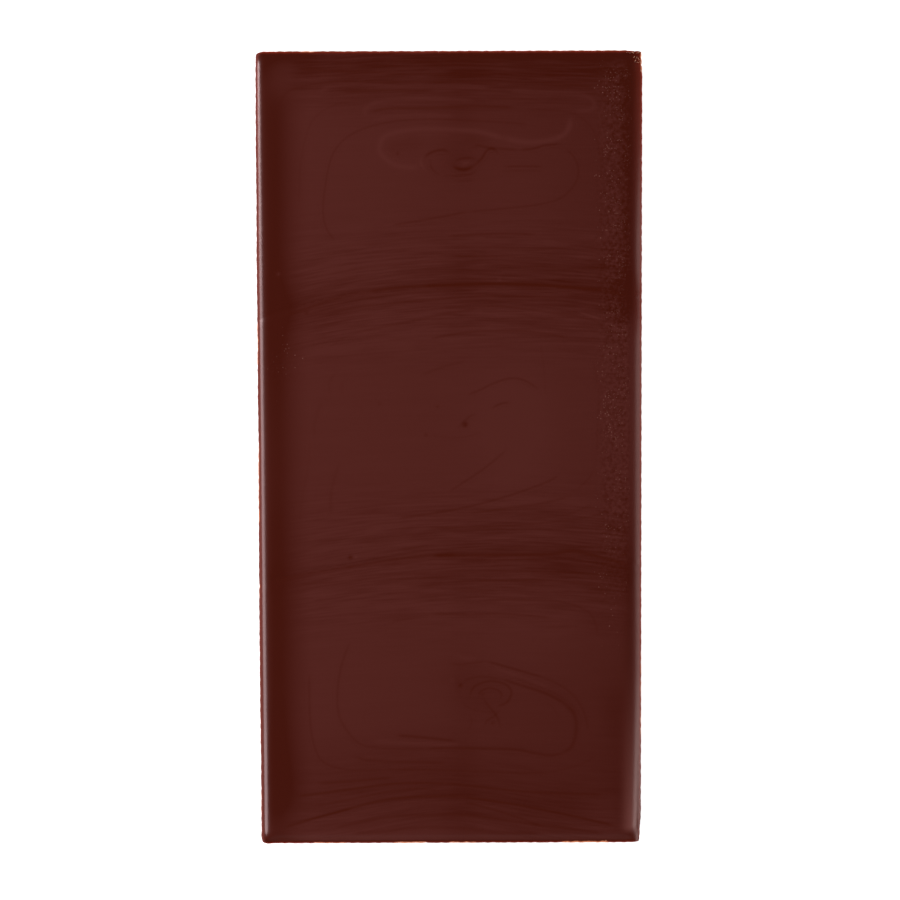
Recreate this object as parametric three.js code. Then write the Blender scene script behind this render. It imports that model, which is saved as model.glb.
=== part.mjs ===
import * as THREE from "three";
import { mergeGeometries, mergeVertices } from "three/addons/utils/BufferGeometryUtils.js";

// A plain dark chocolate bar, lying on its moulded face with its poured back up.
// Millimetres. X runs across the bar, Y along it, Z up from the face that it rests on.
// The back set from three poured pools: they met in two arched seams, and each has a whirl at its middle.

// Overall size
const LENGTH = 158;
const WIDTH = 76.5;
const THICKNESS = 7;
const HALF_LENGTH = LENGTH / 2;
const HALF_WIDTH = WIDTH / 2;

// Outline seen from above: one radius for each corner, and how far the edges wander inwards
const CORNER_RADIUS = { farLeft: 1.1, farRight: 0.5, nearLeft: 0.9, nearRight: 0.5 };
const FOOT_CORNER_RADIUS = 2.4;
const WANDER = 0.12;
const WANDER_PITCH = 31;
const WORN_CORNER_CUT = 0.3;
const WORN_CORNER_REACH = 6.5;

// Sides: a thin flash at the rim, then a drafted wall with a rounded foot
const FLASH_THICKNESS = 0.25;
const FLASH_OVERHANG = 0.3;
const FLASH_UNDERCUT = 0.15;
const DRAFT_DEG = 9;
const FOOT_RADIUS = 1.5;
const FOOT_STEPS = 3;

// The back's edges: a flat ledge of flash, a steep roll up from it, and a long gentle fall inside that
const LEDGE = 0.4;
const ROLL_DROP = 0.5;
const ROLL_WIDTH = { left: 1.8, right: 2.8, far: 1.5, near: 2.2 };
const ROLL_POWER = 2.2;
const FALL_DROP = 0.16;
const FALL_REACH = 9;

// The smear at the near right corner, where the roll widens towards the end and stops at a step
const SMEAR_START = -42;
const SMEAR_END = -76;
const SMEAR_WIDTH = 4.4;

// The chip at the far right corner
const CHIP_LENGTH = 4;
const CHIP_WIDTH = 2.6;
const CHIP_DEPTH = 0.25;
const CHIP_BITE = 0.2;

// Seams where two pools met: where each crests, and how far it has fallen at the left and right edges
const SEAMS = [
  { x: 6, y: 32.9, fallLeft: 6.8, fallRight: 2.4 },
  { x: 12, y: -20.7, fallLeft: 5.8, fallRight: 2.4 },
];
const SEAM_BEND = 2.2;
const SEAM_DEPTH = 0.14;
const SEAM_HALF_WIDTH = 0.8;
const VALLEY_DEPTH = 0.1;
const VALLEY_HALF_WIDTH = 4;

// Pools: the middle of each whirl, and the half sizes of the pool round it
const POOLS = [
  { x: 2.7, y: 56.6, halfX: 36, halfY: 23 },
  { x: 3.1, y: 5.3, halfX: 36, halfY: 27 },
  { x: 7.4, y: -48.7, halfX: 36, halfY: 28 },
];
const CROWN = 0.1;
const RING_HEIGHT = 0.025;
const RING_COUNT = 3.5;
const WHIRL_DEPTH = 0.1;
const WHIRL_RADIUS = 2.4;

// Arched bands of flow at both ends of the bar
const BAND_HEIGHT = 0.035;
const BAND_PITCH = 5.2;
const BAND_REACH = 17;
const BAND_ARCH = 5;

// Steps between the surface's vertices: fine at edges and seams, widening to coarse between
const FINE_STEP = 0.45;
const COARSE_STEP = 2.35;
const STEP_GROWTH = 1.45;

const smooth = (from, to, value) => THREE.MathUtils.smoothstep(value, from, to);
const bell = (distance, halfWidth) => Math.exp(-((distance / halfWidth) ** 2));

// Positions from start to end, close together at both ends and wider between.
function graded(start, end) {
  const half = (end - start) / 2;
  const reaches = [];
  let step = FINE_STEP;
  let reach = 0;
  while (reach + step < half) {
    reach += step;
    reaches.push(reach);
    step = Math.min(step * STEP_GROWTH, COARSE_STEP);
  }
  const stretch = half / (reach + step / 2);
  const inward = reaches.map((value) => start + value * stretch);
  const outward = reaches.map((value) => end - value * stretch).reverse();
  return [start, ...inward, ...outward];
}

// How far a seam has fallen below its crest at a place across the bar.
function seamFall(seam, x) {
  const left = x < seam.x;
  const span = left ? seam.x + HALF_WIDTH : HALF_WIDTH - seam.x;
  const fall = left ? seam.fallLeft : seam.fallRight;
  return fall * (Math.abs(x - seam.x) / span) ** SEAM_BEND;
}

// The fall that a row of vertices shares: a seam's own at the seam, none at the bar's ends.
function rowFall(x, y) {
  const [upper, lower] = SEAMS;
  if (y > upper.y) return seamFall(upper, x) * (HALF_LENGTH - y) / (HALF_LENGTH - upper.y);
  if (y < lower.y) return seamFall(lower, x) * (HALF_LENGTH + y) / (HALF_LENGTH + lower.y);
  const share = (y - lower.y) / (upper.y - lower.y);
  return THREE.MathUtils.lerp(seamFall(lower, x), seamFall(upper, x), share);
}

// The step down from the plane of the back beside one edge.
function roll(distance, width) {
  const share = THREE.MathUtils.clamp((width - distance) / (width - LEDGE), 0, 1);
  return ROLL_DROP * share ** ROLL_POWER;
}

// The right edge's roll is wider along the smear.
function rightRollWidth(y) {
  const along = THREE.MathUtils.clamp((SMEAR_START - y) / (SMEAR_START - SMEAR_END), 0, 1);
  const stops = smooth(SMEAR_END - 1, SMEAR_END, y);
  return THREE.MathUtils.lerp(ROLL_WIDTH.right, SMEAR_WIDTH, along * stops);
}

function edgeDrop(x, y) {
  const across = Math.max(
    roll(x + HALF_WIDTH, ROLL_WIDTH.left),
    roll(HALF_WIDTH - x, rightRollWidth(y)),
  );
  const along = Math.max(
    roll(HALF_LENGTH - y, ROLL_WIDTH.far),
    roll(y + HALF_LENGTH, ROLL_WIDTH.near),
  );
  const nearest = Math.min(HALF_WIDTH - Math.abs(x), HALF_LENGTH - Math.abs(y));
  const gentle = FALL_DROP * (1 - smooth(0, FALL_REACH, nearest));
  return Math.min(ROLL_DROP, Math.hypot(across, along)) + gentle;
}

function seamDrop(x, y) {
  let drop = 0;
  for (const seam of SEAMS) {
    const distance = y - (seam.y - seamFall(seam, x));
    drop += SEAM_DEPTH * bell(distance, SEAM_HALF_WIDTH);
    drop += VALLEY_DEPTH * bell(distance, VALLEY_HALF_WIDTH);
  }
  return drop;
}

// Each pool is a very low crown with faint rings round a small dip.
function poolRise(x, y) {
  let rise = 0;
  for (const pool of POOLS) {
    const dx = (x - pool.x) / pool.halfX;
    const dy = (y - pool.y) / pool.halfY;
    const out = (dx ** 4 + dy ** 4) ** 0.25;
    if (out < 1) {
      const fade = 1 - out * out;
      rise += CROWN * fade + RING_HEIGHT * fade * Math.cos(2 * Math.PI * RING_COUNT * out);
    }
    rise -= WHIRL_DEPTH * bell(Math.hypot(x - pool.x, y - pool.y), WHIRL_RADIUS);
  }
  return rise;
}

function bandRise(x, y) {
  const arch = BAND_ARCH * (x / HALF_WIDTH) ** 2;
  const fromEnd = HALF_LENGTH - Math.abs(y) - (y < 0 ? arch : -arch / 2);
  const fade = 1 - smooth(0, BAND_REACH, fromEnd);
  return BAND_HEIGHT * fade * Math.sin(2 * Math.PI * fromEnd / BAND_PITCH);
}

// The chip is deepest at the corner itself, and broken into small facets.
function chipShare(x, y) {
  const across = (HALF_WIDTH - x) / CHIP_WIDTH;
  const along = (HALF_LENGTH - y) / CHIP_LENGTH;
  const crumbled = 0.8 + 0.2 * Math.sin(7 * x) * Math.cos(5 * y);
  return crumbled * THREE.MathUtils.clamp(1.15 - Math.hypot(across, along), 0, 1);
}

// The height of the back before the whole is set to its true thickness.
function backHeight(x, y) {
  const relief = poolRise(x, y) + bandRise(x, y) - seamDrop(x, y);
  return THICKNESS + relief - edgeDrop(x, y) - CHIP_DEPTH * chipShare(x, y);
}

function cornerRadius(x, y) {
  if (y > 0) return x > 0 ? CORNER_RADIUS.farRight : CORNER_RADIUS.farLeft;
  return x > 0 ? CORNER_RADIUS.nearRight : CORNER_RADIUS.nearLeft;
}

// How far the outline is pulled in here: the edges wander, and two corners are worn or chipped.
function pulledIn(x, y) {
  const along = Math.abs(x) / HALF_WIDTH > Math.abs(y) / HALF_LENGTH ? y : x;
  const wander = WANDER * Math.sin(Math.PI * along / WANDER_PITCH) ** 2;
  const worn = x > 0 ? WORN_CORNER_CUT * (1 - smooth(-HALF_LENGTH, WORN_CORNER_REACH - HALF_LENGTH, y)) : 0;
  return wander + worn * (Math.abs(x) / HALF_WIDTH) ** 8 + CHIP_BITE * chipShare(x, y);
}

// Moves a point of the plain rectangle into the outline, set in by inset, with its corner rounded.
function placed(x, y, inset, radius) {
  const pull = inset + pulledIn(x, y) * Math.max(Math.abs(x) / HALF_WIDTH, Math.abs(y) / HALF_LENGTH) ** 12;
  const halfX = HALF_WIDTH - pull;
  const halfY = HALF_LENGTH - pull;
  const px = x * halfX / HALF_WIDTH;
  const py = y * halfY / HALF_LENGTH;
  const overX = Math.abs(px) - (halfX - radius);
  const overY = Math.abs(py) - (halfY - radius);
  if (overX <= 0 || overY <= 0) return [px, py];
  const scale = Math.max(overX, overY) / Math.hypot(overX, overY);
  return [
    Math.sign(px) * (halfX - radius + overX * scale),
    Math.sign(py) * (halfY - radius + overY * scale),
  ];
}

const columns = [...graded(-HALF_WIDTH, HALF_WIDTH), HALF_WIDTH];
const rows = [
  ...graded(-HALF_LENGTH, SEAMS[1].y),
  ...graded(SEAMS[1].y, SEAMS[0].y),
  ...graded(SEAMS[0].y, HALF_LENGTH),
  HALF_LENGTH,
].reverse();

// The plain rectangle's point at a column and row, with the row bent along the seams.
function gridPoint(column, row) {
  const x = columns[column];
  return [x, rows[row] - rowFall(x, rows[row])];
}

function backPoint(column, row) {
  const [x, y] = gridPoint(column, row);
  const [px, py] = placed(x, y, 0, cornerRadius(x, y));
  return [px, py, backHeight(x, y)];
}

function backSurface() {
  const across = columns.length - 1;
  const along = rows.length - 1;
  const geometry = new THREE.PlaneGeometry(WIDTH, LENGTH, across, along);
  const position = geometry.attributes.position;
  for (let row = 0; row <= along; row++) {
    for (let column = 0; column <= across; column++) {
      position.setXYZ(row * (across + 1) + column, ...backPoint(column, row));
    }
  }
  return geometry;
}

// Columns and rows of the back's edge, once round, anticlockwise seen from above.
function edgeLoop() {
  const lastColumn = columns.length - 1;
  const lastRow = rows.length - 1;
  const loop = [];
  for (let column = 0; column < lastColumn; column++) loop.push([column, lastRow]);
  for (let row = lastRow; row > 0; row--) loop.push([lastColumn, row]);
  for (let column = lastColumn; column > 0; column--) loop.push([column, 0]);
  for (let row = 0; row < lastRow; row++) loop.push([0, row]);
  return loop;
}

// The side below a rim of the given height, as levels from the rim to the foot.
function sideLevels(rim) {
  const flashFoot = rim - FLASH_THICKNESS;
  const wallTop = flashFoot - FLASH_UNDERCUT;
  const slope = Math.tan(THREE.MathUtils.degToRad(DRAFT_DEG));
  const wallFoot = FLASH_OVERHANG + (wallTop - FOOT_RADIUS) * slope;
  const levels = [
    { inset: 0, z: rim, share: 0 },
    { inset: 0, z: flashFoot, share: 0 },
    { inset: FLASH_OVERHANG, z: wallTop, share: 0.1 },
  ];
  for (let step = 0; step <= FOOT_STEPS; step++) {
    const angle = step / FOOT_STEPS * Math.PI / 2;
    const inset = wallFoot + FOOT_RADIUS * (1 - Math.cos(angle));
    levels.push({ inset, z: FOOT_RADIUS * (1 - Math.sin(angle)), share: 1 });
  }
  return levels;
}

function sidePoint([column, row], level) {
  const [x, y] = gridPoint(column, row);
  const { inset, z, share } = sideLevels(backHeight(x, y))[level];
  const radius = THREE.MathUtils.lerp(cornerRadius(x, y), FOOT_CORNER_RADIUS, share);
  return [...placed(x, y, inset, radius), z];
}

function sideSurface(loop, levelCount) {
  const geometry = new THREE.PlaneGeometry(1, 1, loop.length, levelCount - 1);
  const position = geometry.attributes.position;
  for (let level = 0; level < levelCount; level++) {
    for (let index = 0; index <= loop.length; index++) {
      const point = sidePoint(loop[index % loop.length], level);
      position.setXYZ(level * (loop.length + 1) + index, ...point);
    }
  }
  return geometry;
}

// The flat face that the bar rests on: strips from the foot in to a line down the middle.
function underside(loop, footLevel) {
  const geometry = new THREE.PlaneGeometry(1, 1, loop.length, 1);
  const position = geometry.attributes.position;
  const middleEnd = HALF_LENGTH - HALF_WIDTH;
  for (let index = 0; index <= loop.length; index++) {
    const place = loop[index % loop.length];
    const middleY = THREE.MathUtils.clamp(rows[place[1]], -middleEnd, middleEnd);
    position.setXYZ(index, ...sidePoint(place, footLevel));
    position.setXYZ(loop.length + 1 + index, 0, middleY, 0);
  }
  return geometry;
}

// Drops the triangles that have shrunk to a line, where strips meet at one point.
function dropCollapsed(geometry) {
  const corners = geometry.index.array;
  const kept = [];
  for (let index = 0; index < corners.length; index += 3) {
    const [a, b, c] = corners.slice(index, index + 3);
    if (a !== b && b !== c && c !== a) kept.push(a, b, c);
  }
  geometry.setIndex(kept);
}

// Sets the finished body to exactly the driving length, width and thickness.
function setToSize(geometry) {
  geometry.computeBoundingBox();
  const { min, max } = geometry.boundingBox;
  const middle = new THREE.Vector3((min.x + max.x) / 2, (min.y + max.y) / 2, min.z);
  geometry.translate(-middle.x, -middle.y, -middle.z);
  geometry.scale(WIDTH / (max.x - min.x), LENGTH / (max.y - min.y), THICKNESS / (max.z - min.z));
  return geometry;
}

function chocolateBody() {
  const loop = edgeLoop();
  const levelCount = sideLevels(THICKNESS).length;
  const surfaces = [backSurface(), sideSurface(loop, levelCount), underside(loop, levelCount - 1)];
  for (const surface of surfaces) {
    surface.deleteAttribute("normal");
    surface.deleteAttribute("uv");
  }
  const body = mergeVertices(mergeGeometries(surfaces), 1e-3);
  dropCollapsed(body);
  setToSize(body);
  body.computeVertexNormals();
  return body;
}

const darkChocolate = new THREE.MeshStandardMaterial({ color: 0x50221d, roughness: 0.35, metalness: 0 });
const bar = new THREE.Mesh(chocolateBody(), darkChocolate);
bar.name = "chocolate_bar";

const group = new THREE.Group();
group.add(bar);

export default group;
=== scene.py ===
import math
import random

import bmesh
import bpy
import numpy as np
from mathutils import Euler, Matrix, Vector


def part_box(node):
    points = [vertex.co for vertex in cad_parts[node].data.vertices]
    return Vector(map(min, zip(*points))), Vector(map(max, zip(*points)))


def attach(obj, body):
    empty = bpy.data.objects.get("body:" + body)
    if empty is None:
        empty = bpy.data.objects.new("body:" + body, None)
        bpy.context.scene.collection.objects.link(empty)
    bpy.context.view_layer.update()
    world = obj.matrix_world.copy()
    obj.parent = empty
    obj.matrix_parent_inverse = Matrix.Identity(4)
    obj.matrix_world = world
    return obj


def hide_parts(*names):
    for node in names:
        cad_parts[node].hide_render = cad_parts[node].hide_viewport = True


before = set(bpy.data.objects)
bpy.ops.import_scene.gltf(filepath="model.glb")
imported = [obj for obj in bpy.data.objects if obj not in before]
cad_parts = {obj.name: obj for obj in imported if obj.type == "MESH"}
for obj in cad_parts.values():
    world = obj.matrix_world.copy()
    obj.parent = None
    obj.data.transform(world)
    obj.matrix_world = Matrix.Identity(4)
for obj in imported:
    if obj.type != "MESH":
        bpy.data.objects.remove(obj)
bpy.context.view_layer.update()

# Lengths below are millimetres unless a name says otherwise.
MM = 0.001
TENTHS = 10
BAR = "chocolate_bar"
low_corner, high_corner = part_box(BAR)
HALF_WIDTH = (high_corner.x - low_corner.x) / 2 / MM
HALF_LENGTH = (high_corner.y - low_corner.y) / 2 / MM
THICKNESS = (high_corner.z - low_corner.z) / MM

# Outline seen from above
CORNER_RADIUS = {"far_left": 1.1, "far_right": 0.5, "near_left": 1.0, "near_right": 0.5}
FOOT_CORNER_RADIUS = 2.4
# How far the left side is pulled in along the bar: (y, inset)
LEFT_INSET = [
    (-79, 0.24), (-70, 0.25), (-62, 0.25), (-52, 0.17), (-32, 0.12), (-10, 0.18), (-5, 0.17), (2, 0.25),
    (9, 0.17), (26, 0.17), (38, 0.12), (50, 0.18), (60, 0.14), (68, 0.17), (79, 0.24),
]
RIGHT_INSET = 0.04
FAR_INSET = 0.12
NEAR_INSET = 0.04
# The ends are cut back towards their left corners: (cut, reach)
FAR_LEFT_CUT = (0.14, 4.0)
NEAR_LEFT_CUT = (0.14, 1.8)
# The near right corner is worn: it dies away soon along the side, and sooner still along the near end
WORN_CORNER_CUT = 0.3
WORN_CORNER_REACH = 6.5
WORN_SIDE_POWER = 8
WORN_END_POWER = 40
# Waves of the flash's ragged edge: (height, radians per millimetre, start)
RAGGED_WAVES = [(0.015, 0.9, 1.0), (0.02, 2.3, 0.0), (0.025, 3.7, 2.0), (0.01, 5.7, 0.0)]
# How sharply the pull on the outline fades inwards
PULL_POWER = 60

# Sides
FLASH_THICKNESS = 0.22
FLASH_OVERHANG = 0.3
FLASH_UNDERCUT = 0.15
DRAFT_DEG = 9.0
FOOT_RADIUS = 1.5
FOOT_STEPS = 5
WALL_STEPS = 2
# Inset of the flash's lower edge, and the share of the foot's corner radius where the wall starts
FLASH_DRAFT = 0.02
WALL_TOP_SHARE = 0.1
# Share of the flash's wear that the walls follow, without its ragged edge
WALL_WEAR = 0.25

# The back rolls over at its edges, in from a narrow ledge.
# The left roll is given at four places along the bar.
LEFT_ROLL_PLACES = (-79, -10, 30, 79)
LEFT_ROLL = {
    "width": (3.0, 3.1, 3.0, 2.1),
    "ledge": (0.83, 0.66, 0.55, 0.43),
    "drop": (0.41, 0.45, 0.46, 0.35),
    "power": (3.0, 2.9, 2.8, 2.4),
}
RIGHT_ROLL = {"width": 3.0, "ledge": 0.1, "drop": 0.65, "power": 2.0}
FAR_ROLL = {"width": 1.5, "ledge": 0.3, "drop": 0.3, "power": 2.2}
NEAR_ROLL = {"width": 2.4, "ledge": 0.6, "drop": 0.4, "power": 2.2}
# The left roll dies out this far from the near and the far end
LEFT_ROLL_NEAR_END = (0.4, 2.4)
LEFT_ROLL_FAR_END = (0.1, 2.4)
ROLL_SOFTNESS = 0.17
# The right roll grows in from the far end, quickly at first and then slowly
RIGHT_ROLL_GROWS = ((0.0, 6.0), (4.0, 46.0))
# Where it is wider and where it is shallower: (y, half length, amount)
RIGHT_ROLL_WIDER = (-40.0, 16.0, 0.25)
RIGHT_ROLL_SHALLOWER = (29.0, 6.0, 0.25)
# The right half of an end drops at least this far
RIGHT_DEPTH = 0.5
# Share of the near roll at the corners, and the stretch in from the sides over which it becomes whole
NEAR_ROLL_AT_CORNERS = 0.3
NEAR_ROLL_FROM_SIDES = (0.5, 4.0)
# A gentle fall towards every edge
FALL_DROP = 0.1
FALL_REACH = 9.0

# The smear beside the near right corner: the right roll grows into this one and stops at a step
SMEAR_START = -42.0
SMEAR_END = -76.0
SMEAR_GROWTH = 1.5
SMEAR_STEP = (-77.4, -75.6)
SMEAR_ROLL = {"width": 3.9, "ledge": 0.3, "drop": 0.95, "power": 3.0}
# Its painted highlight haze, from none to whole in from the edge
SMEAR_PAINTED_HAZE = (5.4, 1.4)
SMEAR_PAINTED_HAZE_POWER = 1.6
# A painted reflection on the left edge's ledge: (place in from the edge, half width, amount)
LEFT_LEDGE_PAINTED_SHEEN = (0.25, 0.45, 0.7)

# How the bands of flow sag at the far end and arch past the near end
END_SAG = 1.5
END_SAG_HALF_WIDTH = 22.0
NEAR_ARCH = 5.0
NEAR_ARCH_HALF_WIDTH = 20.0
PAST_NEAR_END = 2.0
# The streaks of the flow: how often they change across it and along it, and how they differ between pools
STREAKS_ACROSS = 26.0
STREAKS_ALONG = 0.055
STREAKS_POOL_SHIFT = 7.0
# They are faint in the middle of a pool, beside the long edges and towards the near end
STREAKS_FAINTEST = 0.15
STREAKS_CALM = (0.3, 0.8)
STREAKS_FROM_LEFT = (4.0, 12.0)
STREAKS_FROM_RIGHT = (1.0, 5.0)
STREAKS_NEAR_END = (-58.0, -66.0)
STREAKS_NEAR_LOSS = 0.4

# The chip at the far right corner
CHIP_LENGTH = 4.0
CHIP_WIDTH = 2.6
CHIP_DEPTH = 0.22
CHIP_BITE = 0.2
CHIP_CORE = 1.15
CHIP_CRUMBLE = 0.2
CHIP_WAVES = (7.0, 5.0)

# Notches broken out of the flash: (edge, place along it, half width, depth)
NOTCHES = [
    ("right", 77.7, 0.28, 0.10),
    ("right", 76.1, 0.30, 0.14),
    ("right", 75.1, 0.26, 0.09),
    ("far", 36.9, 0.25, 0.05),
    ("near", 31.9, 0.25, 0.06),
    ("near", -4.9, 0.25, 0.05),
    ("left", 21.0, 0.6, 0.06),
    ("left", -27.0, 0.5, 0.06),
]

# Crumbs on the chip and on the flash: (middle, half spread, how many, radius)
CRUMB_PATCHES = [
    ((36.3, 78.45), (1.6, 0.12), 16, 0.15),
    ((37.2, 77.0), (0.75, 0.7), 15, 0.13),
    ((37.9, 75.9), (0.05, 1.1), 5, 0.13),
    ((31.2, -78.62), (0.1, 0.05), 2, 0.16),
    ((-5.2, -78.65), (0.2, 0.04), 2, 0.13),
]
CRUMB_SEED = 7
CRUMB_SIZES = (0.55, 1.1)
CRUMB_LIFT = 0.2
CRUMB_LENGTHS = (0.8, 1.3)
CRUMB_WIDTHS = (0.6, 1.0)
CRUMB_HEIGHT = 0.7
CRUMB_DENT = 0.15

# Seams: crest place, the fall from it at the left and right edges, how far above it its dark band lies,
# and how dark that band is
SEAMS = [
    {"x": 6.0, "y": 32.9, "left": 6.8, "right": 2.4, "shade": 0.5, "depth": 1.0},
    {"x": 12.0, "y": -20.7, "left": 5.8, "right": 2.4, "shade": -1.5, "depth": 0.75},
]
SEAM_BEND = 2.2
SEAM_DEPTH = 0.07
SEAM_HALF_WIDTH = 0.55
VALLEY_DEPTH = 0.08
VALLEY_HALF_WIDTH = 4.0

# Pools: middle of each whirl and half sizes
POOLS = [
    {"x": 2.7, "y": 56.6, "half_x": 36.0, "half_y": 23.0},
    {"x": 3.1, "y": 5.3, "half_x": 36.0, "half_y": 27.0},
    {"x": 7.4, "y": -48.7, "half_x": 36.0, "half_y": 28.0},
]
CROWN = 0.08

# Tone of the back, which paints its sheen and shade: a base and a scale for what the pools, ends, bands,
# seams and patches add up to
TONE_BASE = 0.21
TONE_SCALE = 0.63
POOL_TONE = 1.08
# The pools' painted sheen, an overhead reflection, starts this far in from the left edge, and further in near
# the near and the far end
POOL_START = 7.4
POOL_START_HALF_WIDTH = 3.5
POOL_START_NEAR_HALF = (0.5, (-40.0, 0.0))
POOL_START_FAR_END = (4.0, (4.0, 14.0))
# Stretches over which the painted sheen falls away into painted shade: how much, and from where to where
RIGHT_FALL = (0.55, (-22.0, HALF_WIDTH))
RIGHT_EDGE_FALL = (0.3, (1.5, 6.0))
FAR_FALL = (0.85, (2.0, 10.0))
NEAR_FALL = (0.6, (8.0, 26.0))
NEAR_FALL_LEFT_SHARE = 0.75
# The falls on the right lose this much about the middle of the bar: (y, half length)
MIDDLE = (8.0, 26.0)
RIGHT_FALL_MIDDLE = 0.4
RIGHT_EDGE_FALL_MIDDLE = 0.25
# Bands beside the edges, painted shade where the amount is negative and painted reflection where it is
# positive: (place in from the edge, half width, how much lighter)
LEFT_BAND = (3.9, 2.3, -0.32)
LEFT_BAND_NEAR = -0.15
LEFT_BAND_NEAR_END = (-40.0, -60.0)
LEFT_BAND_FAR_END = (6.0, 10.0)
RIGHT_BAND = (2.3, 1.2, -0.35)
RIGHT_BAND_NEAR_END = (-50.0, -30.0)
FAR_RIGHT_BAND = (3.0, 1.6, -0.35)
FAR_RIGHT_BAND_START = (20.0, 45.0)
FAR_BAND = (1.0, 1.2, -0.25)
NEAR_BAND = (2.2, 1.6, 0.35)
# A painted shadow line just inside the near flash
NEAR_PAINTED_SHADOW_LINE = (0.42, 0.2, -1.5)
# The far left corner is paler: bands in from the left and from the far edge
FAR_LEFT_BANDS = ((6.0, 3.5, 0.3), (3.5, 2.2, 1.0))
# Painted shade along the seams' valleys: a broad band, stronger to the right, and a narrow one
SEAM_BAND = 0.18
SEAM_BAND_RIGHT = 0.3
SEAM_BAND_HALF_WIDTH = 5.5
SEAM_BAND_FROM_LEFT = (4.0, 9.0)
SEAM_NARROW_BAND = (0.0, 2.2, -0.12)

# Broad unevenness of the back: (x, y, half width, half length, how much lighter)
TONE_PATCHES = [
    (-31.5, 73.8, 5.5, 5.2, 1.0),
    (-36.0, -2.0, 3.5, 12.0, 0.2),
    (-33.5, -75.0, 4.5, 4.0, 0.8),
    (31.0, -73.5, 6.0, 4.0, 0.45),
    (33.0, -53.0, 3.0, 7.0, -0.4),
    (-2.0, 70.5, 28.0, 4.0, -0.3),
    (0.0, -14.5, 25.0, 4.5, -0.2),
    (-34.5, 27.0, 3.5, 6.0, -0.45),
    (34.6, 30.0, 3.0, 6.0, -0.45),
    (0.0, -75.0, 30.0, 3.0, 0.25),
    (-27.0, 28.0, 12.0, 5.0, -0.3),
    (13.0, 3.5, 8.0, 13.0, 0.45),
    (36.2, 76.5, 3.5, 3.0, 0.9),
    (-22.0, 71.5, 12.0, 5.0, -0.25),
    (6.5, -48.5, 5.0, 5.0, -0.25),
    (15.0, 50.0, 10.0, 12.0, 0.2),
    (17.0, -37.0, 14.0, 8.0, 0.35),
    (23.0, -65.5, 12.0, 6.0, 0.3),
    (-10.0, -62.5, 16.0, 8.0, -0.25),
    (2.0, 57.5, 4.0, 3.5, -0.25),
]

# Tone of the moulded sides and underside
MOULDED_TONE = 0.6

# Faint line down the bar where two flows met
MEETING_LINE = 2.3
MEETING_HALF_WIDTH = 3.4
# How dark it is along the bar: (y, darkening)
MEETING_SHADE = [
    (-72, 0.27), (-63, 0.25), (-55, 0.12), (-45, 0.25), (-35, 0.02), (-26, 0.2), (-20, 0.1), (-11, 0.0),
    (14, 0.0), (24, 0.08), (32, 0.34), (39, 0.2), (49, 0.02), (60, 0.2), (72, 0.28),
]

# Steps between the vertices of the back
FINE_STEP = 0.16
COARSE_STEP = 0.43
STEP_GROWTH = 1.12
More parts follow.
